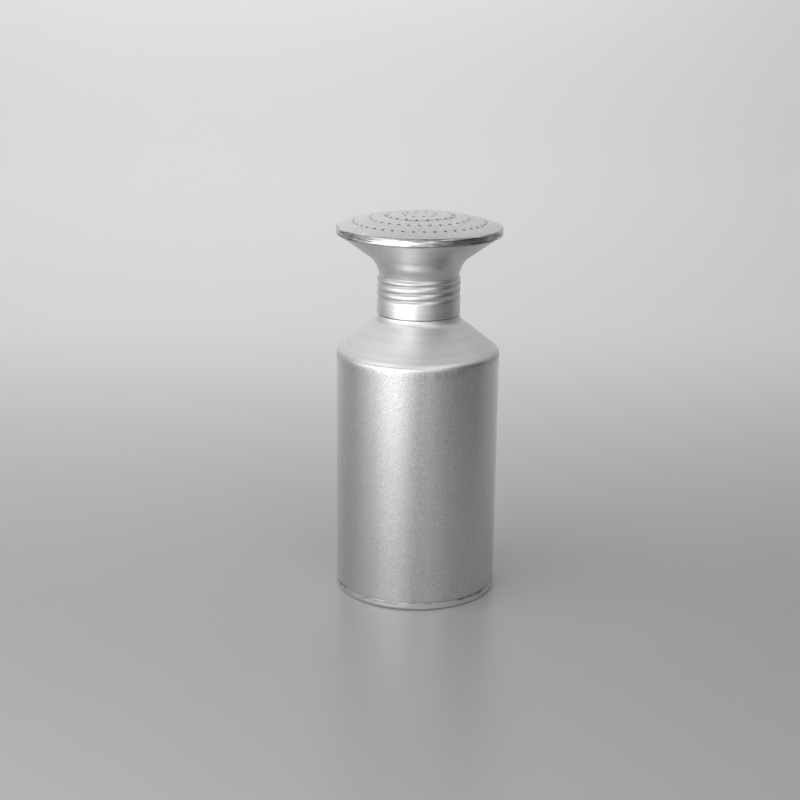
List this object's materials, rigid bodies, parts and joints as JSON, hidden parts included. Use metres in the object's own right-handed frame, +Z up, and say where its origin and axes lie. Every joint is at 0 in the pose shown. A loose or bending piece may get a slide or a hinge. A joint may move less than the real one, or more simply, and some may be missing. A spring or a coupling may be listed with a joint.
{
  "type": "spice shaker",
  "caption": "Round aluminium can with a sloping shoulder and a screw-on lid that flares to a wide domed sprinkler head with rings of small holes.",
  "frame": {"origin": "centre of the base, on the surface that the shaker stands on", "axes": "+Z up along the can's axis; -Y is the side that the picture shows"},
  "size_m": [0.0856, 0.0856, 0.2006],
  "materials": {
    "can": "frosted satin with fine upright grain on the wall, turned on the shoulder",
    "pan": "satin",
    "seal": "matt, hidden in the lid",
    "lid": "turned satin",
    "sprinkler": "matt top with a polished rim"
  },
  "bodies": {
    "can": {"body_shell": "can", "base_pan": "pan"},
    "seal": {"sealing_ring": "seal"},
    "lid": {"lid_collar": "lid", "sprinkler_plate": "sprinkler"}
  },
  "joints": [
    {"name": "lid_rise", "type": "slide", "parent": "can", "child": "seal", "axis": [0, 0, 1], "range_m": [0, 0.01126]},
    {"name": "lid_turn", "type": "hinge", "parent": "seal", "child": "lid", "pos_m": [0, 0, 0.16], "axis": [0, 0, 1], "range_deg": [0, 1080]}
  ],
  "couplings": [
    {"joint": "lid_rise", "follows": "lid_turn", "m_per_rad": 0.00059683}
  ]
}
